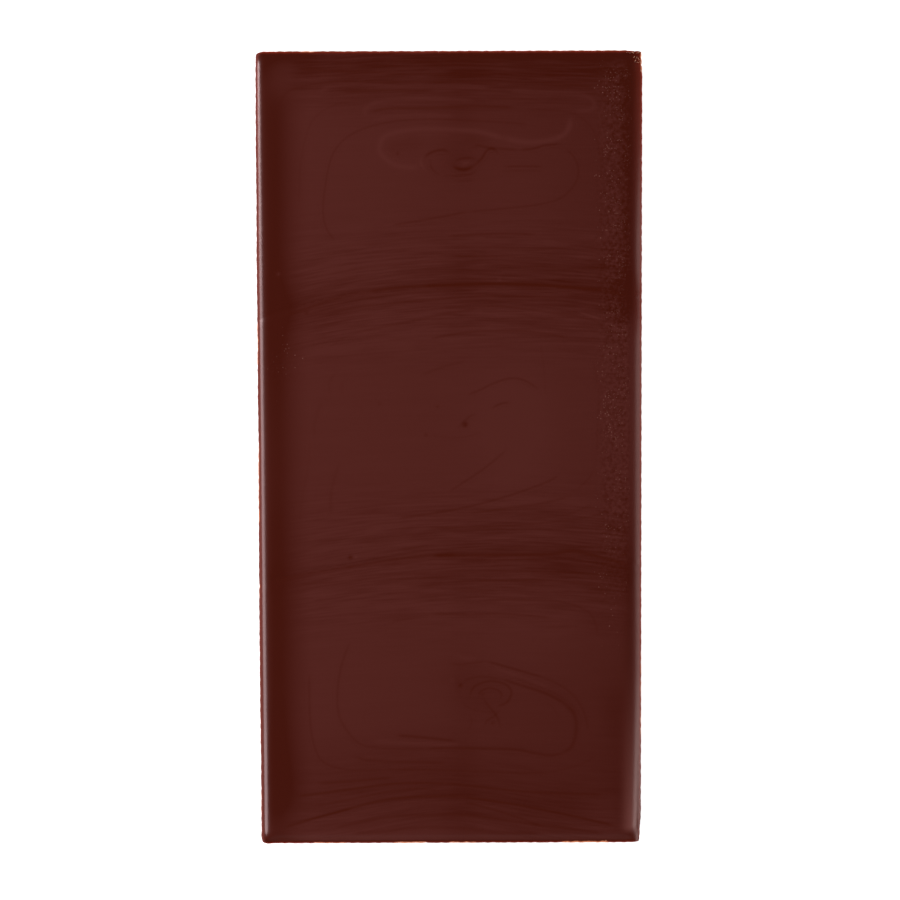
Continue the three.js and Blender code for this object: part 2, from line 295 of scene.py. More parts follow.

# Flow lines: (strength, half width, points along it in tenths of a millimetre). Positive is a groove painted
# darker as shade, negative a ridge painted paler as sheen, both with a faint real bump. They were read off as
# if seen square on, and placed_on_bar allows for the lean.
FAR_POOL_LINES = [
    (1.0, 0.3, [(-305, 753), (-234, 750), (-174, 747), (-80, 743)]),
    (0.5, 0.28, [(-90, 744), (1, 742), (101, 744), (180, 745)]),
    (0.7, 0.3, [(-105, 770), (1, 763), (126, 770)]),
    (0.6, 0.26, [(-347, 658), (-329, 700), (-300, 716), (-224, 728), (-119, 725), (0, 727), (101, 723)]),
    (0.8, 0.28, [(175, 722), (251, 720), (288, 712)]),
    (0.9, 0.34, [(-215, 706), (-159, 709), (-30, 709)]),
    (0.5, 0.26, [(10, 709), (50, 710), (98, 708)]),
    (-0.7, 0.5, [(-264, 704), (-234, 718), (-174, 722), (-99, 719), (1, 717), (81, 715)]),
    (-0.6, 0.45, [(120, 709), (176, 705), (226, 705), (266, 700), (287, 685), (280, 670), (248, 668)]),
    (-0.7, 0.5, [(-162, 656), (-169, 670), (-149, 685), (-109, 692), (-49, 694), (51, 689)]),
    (1.0, 0.36, [(-160, 667), (-119, 674), (-39, 674), (26, 677), (81, 677), (130, 675)]),
    (0.5, 0.26, [(70, 693), (141, 692), (184, 689)]),
    (-0.6, 0.45, [(-152, 652), (-99, 659), (-49, 661), (11, 658)]),
    (0.7, 0.24, [(158, 642), (51, 649), (-49, 652), (-129, 645), (-194, 623), (-232, 583), (-248, 513),
        (-251, 463), (-243, 432), (-226, 409)]),
    (0.4, 0.24, [(-212, 401), (-149, 405), (-109, 410), (-56, 419)]),
    (0.9, 0.26, [(-116, 442), (-79, 447), (-9, 459), (41, 469)]),
    (0.8, 0.24, [(35, 467), (101, 473), (166, 480), (211, 490), (236, 506), (252, 528), (256, 553),
        (246, 578), (228, 595)]),
    (0.5, 0.24, [(151, 672), (226, 667), (261, 655), (289, 623), (300, 570), (301, 513)]),
    (0.3, 0.24, [(301, 520), (302, 453), (296, 420), (272, 404)]),
    (0.45, 0.26, [(280, 407), (226, 395), (151, 393), (51, 399), (-49, 397), (-110, 389)]),
    (0.35, 0.26, [(-299, 480), (-297, 553), (-289, 603), (-274, 648), (-244, 674), (-195, 691)]),
    (1.0, 0.22, [(106, 557), (141, 558), (190, 557)]),
    (0.5, 0.22, [(96, 548), (141, 549), (192, 548)]),
    (1.1, 0.28, [(-5, 419), (51, 422), (121, 424), (174, 422)]),
    (0.5, 0.26, [(3, 380), (101, 378), (190, 375)]),
    (0.5, 0.28, [(-240, 344), (-189, 353), (-139, 360), (-49, 368), (30, 369)]),
    (0.45, 0.26, [(70, 363), (151, 360), (251, 353), (306, 344)]),
    # The whirl
    (2.6, 0.4, [(5, 563), (13, 555), (31, 552), (51, 560)]),
    (1.5, 0.28, [(46, 557), (63, 573), (73, 588), (81, 593), (91, 590), (99, 582)]),
    (1.3, 0.26, [(7, 566), (21, 573), (41, 575), (57, 572)]),
    (1.5, 0.3, [(-52, 572), (-39, 585), (-14, 591), (3, 584)]),
    (-1.2, 0.34, [(-54, 580), (-57, 565), (-46, 547)]),
    (-1.0, 0.45, [(16, 564), (32, 565), (46, 568)]),
    (1.0, 0.24, [(-24, 566), (-22, 556), (-9, 546), (11, 539), (41, 542), (56, 550)]),
    (0.8, 0.26, [(-39, 575), (-35, 554), (-16, 538)]),
    (0.7, 0.24, [(4, 530), (26, 529), (53, 531)]),
    (1.0, 0.3, [(42, 594), (56, 600), (68, 597), (101, 593), (141, 590)]),
    (1.3, 0.26, [(136, 590), (166, 593), (191, 600), (224, 602)]),
    (-1.2, 0.55, [(-59, 555), (-104, 560), (-131, 578), (-139, 595), (-129, 618), (-94, 629), (-39, 633),
        (41, 629), (76, 623), (111, 612)]),
    (-1.3, 0.6, [(106, 614), (151, 606), (191, 608), (219, 616), (236, 632), (241, 656)]),
    (0.45, 1.7, [(-124, 592), (-94, 601), (-59, 603)]),
    (0.5, 0.9, [(26, 613), (51, 613), (79, 609)]),
]
MIDDLE_POOL_LINES = [
    (0.55, 0.28, [(-244, 271), (-149, 282), (-49, 292), (36, 298)]),
    (0.75, 0.26, [(26, 297), (86, 300), (179, 298), (220, 295)]),
    (-0.6, 0.4, [(41, 309), (101, 311), (181, 309), (246, 301)]),
    (0.6, 0.28, [(-183, 229), (-99, 245), (-19, 262), (61, 277)]),
    (0.6, 0.26, [(51, 276), (101, 279), (201, 267), (251, 260), (304, 242), (320, 218), (328, 190)]),
    (0.8, 0.26, [(-43, 214), (31, 227), (126, 231), (201, 223), (240, 214)]),
    (0.4, 0.26, [(-10, 236), (41, 239), (80, 238)]),
    (0.55, 0.3, [(-58, 141), (-29, 153), (1, 163), (36, 171)]),
    (0.9, 0.26, [(33, 102), (61, 113), (86, 125), (116, 135), (141, 134), (161, 125), (179, 112)]),
    (1.1, 0.26, [(80, 74), (101, 85), (125, 88)]),
    (0.7, 0.26, [(14, 35), (28, 49), (43, 62), (58, 66)]),
    (0.35, 0.26, [(-42, 23), (-5, 19), (36, 20), (68, 31)]),
    (0.8, 0.26, [(-3, -91), (51, -56), (86, -30), (115, -5)]),
    (0.9, 0.26, [(-106, -143), (1, -127), (101, -103), (191, -72), (219, -55)]),
    (0.65, 0.26, [(36, -134), (126, -121), (176, -115), (240, -100)]),
    (0.5, 0.26, [(161, -144), (226, -137), (251, -130), (289, -113)]),
    (0.6, 0.26, [(-52, -159), (26, -162), (151, -155), (251, -145), (304, -133), (324, -114)]),
    (0.4, 0.26, [(181, -168), (251, -162), (330, -156)]),
    (0.35, 0.34, [(-221, 153), (-239, 129), (-236, 98)]),
    (0.35, 0.34, [(-254, 93), (-267, 53), (-270, 16)]),
    (0.45, 0.36, [(-216, -29), (-229, -62), (-236, -97), (-235, -139)]),
    (0.25, 0.34, [(-206, 140), (-214, 118), (-210, 99)]),
    (0.25, 0.3, [(-278, 10), (-282, -47), (-292, -97), (-299, -150)]),
    (0.35, 0.28, [(-242, 196), (-209, 218), (-170, 231)]),
    (0.35, 0.28, [(284, 176), (296, 113), (294, 53), (293, -23)]),
    (0.25, 0.28, [(180, 213), (188, 153), (191, 98)]),
    (0.5, 0.24, [(249, -90), (276, -65), (289, -42)]),
    (-1.2, 0.2, [(252, 269), (276, 261), (306, 251)]),
]
NEAR_POOL_LINES = [
    (0.5, 0.28, [(-304, -274), (-204, -267), (-99, -255), (-34, -251)]),
    (0.4, 0.26, [(-30, -246), (66, -249), (126, -248)]),
    (0.6, 0.26, [(116, -248), (201, -251), (251, -253), (300, -262)]),
    (0.6, 0.26, [(3, -270), (101, -267), (201, -267), (290, -276)]),
    (0.5, 0.26, [(3, -285), (46, -288), (96, -286)]),
    (0.45, 0.26, [(96, -280), (216, -282), (256, -288)]),
    (0.6, 0.26, [(71, -304), (151, -306), (221, -309), (271, -327), (289, -350), (295, -380)]),
    (0.5, 0.3, [(-124, -351), (-79, -341), (-30, -334)]),
    (1.0, 0.3, [(-38, -333), (1, -333), (46, -334)]),
    (0.8, 0.26, [(36, -334), (101, -333), (151, -336), (206, -342)]),
    (0.7, 0.3, [(-197, -387), (-214, -432), (-223, -492), (-217, -542), (-184, -587), (-149, -598),
        (-99, -601), (-40, -601)]),
    (1.3, 0.32, [(-49, -601), (16, -600), (126, -603), (166, -610), (201, -615), (229, -610)]),
    (1.2, 0.42, [(221, -612), (243, -597), (252, -562), (247, -532), (226, -512)]),
    (0.5, 0.7, [(130, -459), (176, -479), (222, -502), (256, -536)]),
    (1.2, 0.32, [(233, -514), (191, -492), (141, -475), (101, -462)]),
    (0.8, 0.28, [(106, -464), (66, -458), (36, -463), (26, -472)]),
    (0.7, 0.28, [(-279, -450), (-278, -527), (-272, -582), (-252, -626), (-199, -643), (-124, -642)]),
    (0.8, 0.28, [(-134, -642), (-49, -643), (51, -646), (126, -650), (201, -649)]),
    (0.6, 0.26, [(191, -650), (256, -635), (295, -614)]),
    (0.9, 0.36, [(-194, -616), (-149, -625), (-49, -628), (-4, -630)]),
    (1.3, 0.34, [(-109, -574), (-59, -578), (16, -586)]),
    (-0.7, 0.5, [(-154, -586), (-94, -589), (-19, -592), (20, -593)]),
    (0.8, 0.28, [(-3, -432), (26, -433), (76, -427)]),
    (1.2, 0.28, [(70, -427), (101, -435), (156, -451), (191, -461)]),
    (0.7, 0.3, [(181, -458), (221, -476), (249, -499), (268, -532), (276, -567)]),
    (0.4, 0.26, [(186, -509), (206, -520), (217, -542)]),
    (-0.6, 0.4, [(86, -439), (146, -460), (201, -482)]),
    # The whirl
    (1.2, 0.28, [(39, -500), (49, -478), (79, -467), (110, -473), (123, -489), (114, -509), (92, -518)]),
    (0.4, 0.26, [(102, -525), (86, -529), (61, -527), (36, -518), (24, -504)]),
    (1.1, 0.26, [(59, -502), (60, -489), (76, -481), (94, -484), (104, -494), (98, -506)]),
    (1.6, 0.36, [(63, -490), (69, -496)]),
    (1.0, 0.28, [(66, -497), (74, -512), (88, -529), (96, -542), (102, -560)]),
    (0.9, 0.28, [(102, -523), (88, -537), (75, -545), (68, -559)]),
    (0.4, 0.6, [(16, -454), (17, -476), (15, -498)]),
    (0.5, 0.28, [(35, -568), (44, -549), (40, -530)]),
    (-0.7, 0.4, [(4, -459), (6, -470)]),
    (-0.6, 0.5, [(6, -414), (36, -422), (56, -420)]),
    # Bands towards the near end
    (0.8, 0.26, [(-242, -709), (-177, -698), (-117, -685), (-56, -681), (-17, -685)]),
    (0.7, 0.26, [(-329, -750), (-255, -735), (-190, -718)]),
    (0.8, 0.26, [(31, -707), (113, -731), (191, -759)]),
    (1.4, 0.34, [(-306, -696), (-199, -682), (-99, -670), (1, -670)]),
    (1.4, 0.32, [(-10, -669), (101, -682), (151, -687), (226, -691), (306, -693)]),
    (1.0, 0.36, [(-264, -670), (-199, -666), (-159, -662), (-110, -659)]),
    (1.4, 0.32, [(-332, -758), (-224, -727), (-124, -702), (-39, -696), (31, -696)]),
    (1.7, 0.32, [(21, -696), (126, -712), (226, -732), (330, -756)]),
    (-0.25, 0.5, [(-264, -749), (-154, -719), (-49, -708), (51, -712), (141, -728)]),
    (1.0, 0.34, [(-230, -758), (-124, -737), (-49, -733), (26, -733), (151, -750), (306, -771)]),
    (0.8, 0.5, [(-194, -770), (-124, -765), (-49, -758), (26, -760), (101, -770), (181, -770)]),
]
# Pinholes, painted darker as shade in their pits, and pale dots: (strength, radius, place in tenths)
PINHOLES = [
    (2.6, 0.55, (31, 44)),
    (1.3, 0.4, (-47, 23)),
    (1.2, 0.35, (-139, 86)),
    (1.1, 0.35, (-24, 80)),
    (1.6, 0.42, (-284, 268)),
    (2.4, 0.45, (-197, -220)),
    (-1.6, 0.35, (-186, -219)),
    (2.2, 0.42, (22, -475)),
    (1.6, 0.38, (86, -550)),
    (1.4, 0.34, (-103, 584)),
    (2.0, 0.4, (346, -216)),
    (-1.4, 0.35, (99, 332)),
    (-1.2, 0.35, (-340, 345)),
]
# Seam lines, painted darker as shade in their grooves
SEAM_LINES = [
    (0.7, 0.4, [(-344, 256), (-289, 274), (-199, 304), (-149, 312)]),
    (1.8, 0.38, [(-164, 310), (-99, 317), (-40, 321)]),
    (2.6, 0.42, [(-54, 320), (1, 322), (96, 324), (201, 320), (306, 310)]),
    (1.6, 0.36, [(291, 312), (326, 306), (351, 299)]),
    (0.8, 0.4, [(-344, -266), (-284, -253), (-189, -237)]),
    (1.2, 0.4, [(-209, -241), (-120, -226), (-49, -217), (16, -214)]),
    (0.5, 0.28, [(-170, -226), (-100, -215), (-40, -208)]),
    (0.5, 0.28, [(-140, -238), (-80, -229), (-20, -223)]),
    (1.8, 0.42, [(-34, -217), (51, -216), (191, -215), (241, -209), (276, -214), (309, -224)]),
    (1.6, 0.36, [(299, -221), (326, -228), (351, -235)]),
]
# Half width of the thin flash's painted backlit glow, and the painted warm glow inside it: (place from the
# edge, half width, amount)
SIDE_RIM = {"left": 0.48, "right": 0.38}
END_RIM = {"far": 0.32, "near": 0.2}
RIGHT_WARMTH = (0.0, 1.3, 0.3)
NEAR_WARMTH = (0.9, 0.7, 0.04)
# Where the thin flash has broken, with a painted glow of the pieces lit from behind: (edge, from, to, half
# width, strength)
SLIVERS = [
    ("near", 22.2, 31.8, 0.34, 1.0),
    ("near", -0.8, 5.2, 0.28, 0.8),
    ("near", -11.5, -5.0, 0.28, 1.0),
    ("near", -27.7, -20.9, 0.26, 0.75),
    ("left", 17.0, 25.5, 0.28, 0.85),
    ("left", -15.0, 2.0, 0.28, 0.85),
    ("left", -29.5, -26.5, 0.28, 0.75),
    ("left", -74.0, -68.0, 0.24, 0.65),
    ("far", -29.5, -26.0, 0.26, 0.9),
    ("far", -2.0, 1.0, 0.22, 0.6),
    ("right", 74.4, 78.6, 0.34, 1.0),
    ("right", -58.0, -40.0, 0.24, 0.65),
]
SLIVER_FADE = 0.4
# The strip of specks beside the right edge, from none to whole along each of its sides
SPECKS_LEFT = (28.0, 32.5)
SPECKS_RIGHT = (35.0, 36.4)
SPECKS_NEAR = (-45.0, 0.0)
SPECKS_FAR = (74.0, 78.0)
# A thin patch of them by the left edge: its middle, half width, how much longer it is, and its share
SPECK_PATCH = {"x": -34.0, "y": 18.0, "half_width": 4.0, "length": 1.6, "share": 0.15}
# What the camera's lean does to readings: along the bar, across it towards the far end, and aslant
LEAN_SHIFT = 0.78
LEAN_TAPER = 0.00012
LEAN_SLANT = 0.003
# Steps along a flow line, and how far from its ends it fades
LINE_STEP = 0.3
LINE_TAPER = 1.8
# A line's fields are written this many half widths from its middle and a little more, and whole to this share
LINE_HALF_WIDTHS = 1.8
LINE_MARGIN = 0.45
LINE_CORE = 0.8
# A line's offset where there is no line
FAR_OFF = 9.0

# Colours, linear
DARK_CHOCOLATE = (0.0425, 0.0041, 0.0010, 1.0)
# The chocolate lightened by a painted overhead reflection
PAINTED_SHEEN_CHOCOLATE = (0.0682, 0.0141, 0.0105, 1.0)
# Painted shade in the grooves of flow lines, seam lines and pinholes
PAINTED_SHADE_LINE = (0.0455, 0.0046, 0.0009, 1.0)
# Painted glow of the thin flash lit from behind
BACKLIT_FLASH_GLOW = (0.24, 0.027, 0.012, 1.0)
# Painted glow of broken pieces of flash lit from behind
BACKLIT_SLIVER_GLOW = (0.62, 0.24, 0.12, 1.0)
# Painted highlight over the smear
SMEAR_PAINTED_HIGHLIGHT = (0.158, 0.053, 0.045, 1.0)
CRUMB_SHADE = (0.09, 0.018, 0.008, 1.0)
CRUMB_LIGHT = (0.55, 0.26, 0.15, 1.0)
# Painted sheen on the ridges of flow lines
PAINTED_SHEEN_LINE = (0.079, 0.0183, 0.0143, 1.0)
SPECK = (0.165, 0.068, 0.055, 1.0)
FLOOR_GREY = (0.4, 0.4, 0.4, 1.0)
WHITE = (1.0, 1.0, 1.0, 1.0)

# Finish of the chocolate; scales of noise are per metre
ROUGHNESS = 0.225
ROUGHNESS_SPREAD = 0.04
SMUDGE_SCALE = 60.0
SPECULAR_TINT = (1.0, 0.82, 0.82, 1.0)
LINE_RELIEF_M = 0.000004
DEEPEST_LINE = 3.0
PAINTED_SHADE_LINE_SHARE = 0.42
PAINTED_SHEEN_LINE_SHARE = 0.4
SMEAR_PAINTED_HIGHLIGHT_SHARE = 0.9
# Streaks: (scale, detail, strength)
BROAD_STREAKS = (0.55, 2.0, 0.85)
FINE_STREAKS = (2.2, 3.0, 1.2)
STREAK_ROUGHNESS = 0.55
MOTTLE_SCALE = 1500.0
MOTTLE_STRENGTH = 2.2
BROKEN_SCALE = 900.0
BROKEN_EDGE = (0.2, 0.4)
SPECK_SCALE = 3300.0
SPECK_SHARE = 0.75
SPECK_SIZE = 0.2
SPECK_SIZE_SPREAD = 0.35
SPECK_CORE = 0.1
SPECK_UNEVENNESS = 2.4
CROWD_SCALE = 330.0
CROWD_EDGE = (0.43, 0.62)
CRUMB_NOISE_SCALE = 2600.0
CRUMB_NOISE_EDGE = (0.38, 0.62)
CRUMB_ROUGHNESS = 0.7

# Light and floor
OVERHEAD_GLOW = 0.04
HORIZON_GLOW = 0.9
HORIZON_EDGE = (0.02, 0.22)
FLOOR_GLOW = 0.9
FLOOR_ROUGHNESS = 0.9
FLOOR_HALF_SIZE_M = 3.0
# The floor lies a hair below the bar, so that the two flat faces don't share one plane
FLOOR_GAP = 0.05
# Soft panels: (name, place, target, size, watts, colour), in metres
LAMPS = [
    ("left_strip", (-0.55, -0.15, 0.42), (0, 0, 0), (0.7, 0.30), 4.9, (1, 0.92, 0.94)),
    ("left_far_strip", (-0.55, 0.30, 0.42), (0, 0.05, 0), (0.4, 0.30), 4.5, (1, 0.92, 0.94)),
    ("right_soft", (0.55, 0.05, 0.45), (0, 0, 0), (1.0, 0.30), 1.8, (1, 0.93, 0.9)),
    ("right_near_soft", (0.55, -0.40, 0.45), (0, -0.05, 0), (0.5, 0.30), 0.78, (1, 0.93, 0.9)),
    ("near_soft", (0.0, -0.6, 0.6), (0, 0, 0), (0.8, 0.3), 0.15, (1, 1, 1)),
]

# The camera looks straight down, leaning a little towards the bar's near end
CAMERA_DISTANCE = 500.0
CAMERA_LEAN_DEG = -3.5
CAMERA_TURN_DEG = -0.172
CAMERA_AIM = (0.085, 0.087, 6.4)
LENS = 100.51
SENSOR_WIDTH = 36.0


def smooth(start, end, value):
    """0 at start, 1 at end, eased between."""
    share = np.clip((value - start) / (end - start), 0, 1)
    return share * share * (3 - 2 * share)


def bell(distance, half_width):
    return np.exp(-((distance / half_width) ** 2))


def band(distance, place, half_width, amount):
    """A soft band at a place in from an edge."""
    return amount * bell(distance - place, half_width)


def mixed(a, b, share):
    return a + (b - a) * share


def from_edges(x, y):
    """How far in from the left, the right, the far and the near edge."""
    return x + HALF_WIDTH, HALF_WIDTH - x, HALF_LENGTH - y, y + HALF_LENGTH


def graded(start, end):
    """Places from start to end, close together at both ends."""
    half = (end - start) / 2
    reaches, step, reach = [], FINE_STEP, 0.0
    while reach + step < half:
        reach += step
        reaches.append(reach)
        step = min(step * STEP_GROWTH, COARSE_STEP)
    stretch = half / (reach + step / 2)
    inward = [start + value * stretch for value in reaches]
    outward = [end - value * stretch for value in reversed(reaches)]
    return np.array([start, *inward, *outward, end])


def seam_fall(seam, x):
    left = x < seam["x"]
    span = np.where(left, seam["x"] + HALF_WIDTH, HALF_WIDTH - seam["x"])
    fall = np.where(left, seam["left"], seam["right"])
    return fall * (np.abs(x - seam["x"]) / span) ** SEAM_BEND


def roll(distance, width, ledge, drop, power):
    """Height lost in from an edge: none past the width, all of drop on the ledge, its shoulder softened."""
    total = 0
    for nudge in (-ROLL_SOFTNESS, 0, ROLL_SOFTNESS):
        total = total + np.clip((width - distance + nudge) / (width - ledge), 0, 1) ** power
    return drop * total / 3


def smear_share(y):
    along = np.clip((SMEAR_START - y) / (SMEAR_START - SMEAR_END), 0, 1)
    return along**SMEAR_GROWTH * smooth(*SMEAR_STEP, y)


def right_roll_at(y):
    """The right roll grows in from the far end and passes into the smear's."""
    made = {key: mixed(RIGHT_ROLL[key], SMEAR_ROLL[key], smear_share(y)) for key in RIGHT_ROLL}
    place, half_length, amount = RIGHT_ROLL_WIDER
    made["width"] = made["width"] + amount * bell(y - place, half_length)
    quick, slow = (smooth(*span, HALF_LENGTH - y) for span in RIGHT_ROLL_GROWS)
    place, half_length, amount = RIGHT_ROLL_SHALLOWER
    drop = RIGHT_ROLL["drop"] * (quick + slow) / 2 * (1 - amount * bell(y - place, half_length))
    made["drop"] = mixed(drop, SMEAR_ROLL["drop"], smear_share(y))
    return made


def edge_drop(x, y):
    left, right, far, near = from_edges(x, y)
    left_roll = {key: np.interp(y, LEFT_ROLL_PLACES, values) for key, values in LEFT_ROLL.items()}
    right_roll = right_roll_at(y)
    at_left = roll(left, **left_roll) * smooth(*LEFT_ROLL_NEAR_END, near) * smooth(*LEFT_ROLL_FAR_END, far)
    whole = mixed(NEAR_ROLL_AT_CORNERS, 1, smooth(*NEAR_ROLL_FROM_SIDES, np.minimum(left, right)))
    across = np.maximum(at_left, roll(right, **right_roll))
    along = np.maximum(roll(far, **FAR_ROLL), roll(near, **NEAR_ROLL) * whole)
    nearest = np.minimum(np.minimum(left, right), np.minimum(far, near))
    gentle = FALL_DROP * (1 - smooth(0, FALL_REACH, nearest))
    deepest = np.where(x < 0, left_roll["drop"], np.maximum(right_roll["drop"], RIGHT_DEPTH))
    return np.minimum(deepest, np.hypot(across, along)) + gentle


def seam_drop(x, y):
    drop = 0
    for seam in SEAMS:
        distance = y - (seam["y"] - seam_fall(seam, x))
        drop = drop + SEAM_DEPTH * bell(distance, SEAM_HALF_WIDTH)
        drop = drop + VALLEY_DEPTH * bell(distance, VALLEY_HALF_WIDTH)
    return drop


def pool_rise(x, y):
    rise = 0
    for pool in POOLS:
        out = (((x - pool["x"]) / pool["half_x"]) ** 4 + ((y - pool["y"]) / pool["half_y"]) ** 4) ** 0.25
        rise = rise + CROWN * np.clip(1 - out * out, 0, 1)
    return rise


def chip_share(x, y):
    across = (HALF_WIDTH - x) / CHIP_WIDTH
    along = (HALF_LENGTH - y) / CHIP_LENGTH
    crumbled = 1 - CHIP_CRUMBLE * (1 - np.sin(CHIP_WAVES[0] * x) * np.cos(CHIP_WAVES[1] * y))
    return crumbled * np.clip(CHIP_CORE - np.hypot(across, along), 0, 1)


def back_height(x, y):
    relief = pool_rise(x, y) - seam_drop(x, y)
    return relief - edge_drop(x, y) - CHIP_DEPTH * chip_share(x, y)


def fall(fall_by, distance):
    """A fall in tone that is whole at its first place and gone at its second."""
    amount, span = fall_by
    return amount * (1 - smooth(*span, distance))


def end_tone(x, y):
    """Where the pools' painted sheen starts, less the painted shade towards the right edge and both ends."""
    left, right, far, near = from_edges(x, y)
    middle = bell(y - MIDDLE[0], MIDDLE[1])
    across = smooth(*RIGHT_FALL[1], x)
    start = POOL_START + fall(POOL_START_NEAR_HALF, y) + fall(POOL_START_FAR_END, far)
    tone = POOL_TONE * smooth(start - POOL_START_HALF_WIDTH, start + POOL_START_HALF_WIDTH, left)
    tone -= across * (RIGHT_FALL[0] - RIGHT_FALL_MIDDLE * middle)
    tone -= fall(RIGHT_EDGE_FALL, right) * (1 - RIGHT_EDGE_FALL_MIDDLE / RIGHT_EDGE_FALL[0] * middle)
    tone -= fall(FAR_FALL, far)
    tone -= fall(NEAR_FALL, near) * mixed(NEAR_FALL_LEFT_SHARE, 1, across)
    return tone + (1 - middle) * band(right, *RIGHT_BAND) * smooth(*RIGHT_BAND_NEAR_END, y)


# Painted shade and painted reflection in bands beside the edges, and a painted shadow line inside the near
# flash; the far left corner is paler
def edge_bands(x, y):
    left, right, far, near = from_edges(x, y)
    place, half_width, amount = LEFT_BAND
    amount = amount + LEFT_BAND_NEAR * smooth(*LEFT_BAND_NEAR_END, y)
    tone = band(left, place, half_width, amount) * smooth(*LEFT_BAND_FAR_END, far)
    tone += band(near, *NEAR_BAND) + band(left, *FAR_LEFT_BANDS[0]) * band(far, *FAR_LEFT_BANDS[1])
    tone += band(right, *FAR_RIGHT_BAND) * smooth(*FAR_RIGHT_BAND_START, y)
    return tone + band(far, *FAR_BAND) + band(near, *NEAR_PAINTED_SHADOW_LINE)


def tone_field(x, y):
    """Broad tone of the back, as painted sheen and shade: 0 is dark, 1 carries the painted overhead
    reflection on the pools.
    """
    tone = end_tone(x, y) + edge_bands(x, y)
    tone -= np.interp(y, *zip(*MEETING_SHADE)) * bell(x - MEETING_LINE, MEETING_HALF_WIDTH)
    for patch_x, patch_y, half_x, half_y, amount in TONE_PATCHES:
        tone += amount * bell((x - patch_x) / half_x, 1) * bell((y - patch_y) / half_y, 1)
    inside = smooth(*SEAM_BAND_FROM_LEFT, x + HALF_WIDTH)
    amount = inside * (SEAM_BAND + SEAM_BAND_RIGHT * smooth(*RIGHT_FALL[1], x))
    # Painted shade along the seams' valleys
    for seam in SEAMS:
        distance = y - (seam["y"] - seam_fall(seam, x))
        tone -= seam["depth"] * amount * bell(distance - seam["shade"], SEAM_BAND_HALF_WIDTH)
        tone += band(distance, *SEAM_NARROW_BAND)
    return TONE_BASE + TONE_SCALE * tone


def stream_field(x, y):
    """Place in the flow: how far from the whirl's middle towards a seam or an end, and how far along."""
    crests = [seam["y"] - seam_fall(seam, x) for seam in SEAMS]
    tops = [HALF_LENGTH + END_SAG * bell(x, END_SAG_HALF_WIDTH), *crests]
    bottoms = [*crests, NEAR_ARCH * bell(x, NEAR_ARCH_HALF_WIDTH) - HALF_LENGTH - PAST_NEAR_END]
    across, along, calm = np.zeros(x.shape), np.zeros(x.shape), np.ones(x.shape)
    for number, (pool, top, bottom) in enumerate(zip(POOLS, tops, bottoms)):
        above = y > pool["y"]
        share = (y - pool["y"]) / np.where(above, top - pool["y"], pool["y"] - bottom)
        inside = (y <= top) & (y > bottom)
        across = np.where(inside, share * STREAKS_ACROSS, across)
        along = np.where(inside, x * STREAKS_ALONG + STREAKS_POOL_SHIFT * number, along)
        calm = np.where(inside, 1 - smooth(*STREAKS_CALM, np.abs(share)), calm)
    strength = mixed(STREAKS_FAINTEST, 1, 1 - calm)
    strength = strength * smooth(*STREAKS_FROM_LEFT, x + HALF_WIDTH)
    strength = strength * smooth(*STREAKS_FROM_RIGHT, HALF_WIDTH - x)
    strength = strength * (1 - STREAKS_NEAR_LOSS * smooth(*STREAKS_NEAR_END, y))
    return np.stack([across, along, 0 * x], axis=1), strength


def sliver_field(x, y):
    """How strongly the painted backlit glow of broken flash shows in the thin flash."""
    aways = dict(zip(("left", "right", "far", "near"), from_edges(x, y)))
    share = np.zeros(x.shape)
    for edge, start, end, width, strength in SLIVERS:
        along = x if edge in ("near", "far") else y
        inside = smooth(start - SLIVER_FADE, start + SLIVER_FADE, along)
        inside = inside * (1 - smooth(end - SLIVER_FADE, end + SLIVER_FADE, along))
        share = np.maximum(share, strength * inside * bell(np.maximum(aways[edge], 0), width))
    return share


def speckle_field(x, y):
    """How densely fine pale specks lie: a strip beside the right edge, thinner towards the near end."""
    strip = smooth(*SPECKS_LEFT, x) * (1 - smooth(*SPECKS_RIGHT, x))
    strip = strip * smooth(*SPECKS_NEAR, y) * (1 - smooth(*SPECKS_FAR, y))
    away = np.hypot(x - SPECK_PATCH["x"], (y - SPECK_PATCH["y"]) / SPECK_PATCH["length"])
    return np.maximum(strip, SPECK_PATCH["share"] * bell(away, SPECK_PATCH["half_width"]))


def corner_radius(x, y):
    far = np.where(x > 0, CORNER_RADIUS["far_right"], CORNER_RADIUS["far_left"])
    near = np.where(x > 0, CORNER_RADIUS["near_right"], CORNER_RADIUS["near_left"])
    return np.where(y > 0, far, near)


def pulled_in(x, y, raggedness):
    """How far the outline is pulled in beside a point: uneven sides, worn corners, chip and ragged flash."""
    on_side = np.abs(x) / HALF_WIDTH > np.abs(y) / HALF_LENGTH
    along = np.where(on_side, y, x)
    side_inset = np.where(x < 0, np.interp(y, *zip(*LEFT_INSET)), RIGHT_INSET)
    end_inset = np.where(y > 0, FAR_INSET, NEAR_INSET)
    waves = sum(height * np.sin(rate * along + start) for height, rate, start in RAGGED_WAVES)
    ragged = np.maximum(0, raggedness * waves + np.where(on_side, side_inset, end_inset))
    for edge, place, half_width, depth in NOTCHES:
        beside = {"right": x > 0, "left": x < 0, "far": y > 0, "near": y < 0}[edge]
        beside = beside & (on_side == (edge in ("right", "left")))
        ragged = ragged + np.where(beside, depth * bell(along - place, half_width), 0)
    worn = WORN_CORNER_CUT * (1 - smooth(-HALF_LENGTH, WORN_CORNER_REACH - HALF_LENGTH, y))
    worn = np.where(x > 0, worn, 0)
    for at_end, (cut, reach) in ((y > 0, FAR_LEFT_CUT), (y < 0, NEAR_LEFT_CUT)):
        worn = worn + np.where(at_end & ~on_side, cut * (1 - smooth(0, reach, x + HALF_WIDTH)), 0)
    power = np.where((x < 0) | on_side, WORN_SIDE_POWER, WORN_END_POWER)
    return ragged + worn * (np.abs(x) / HALF_WIDTH) ** power + CHIP_BITE * chip_share(x, y)


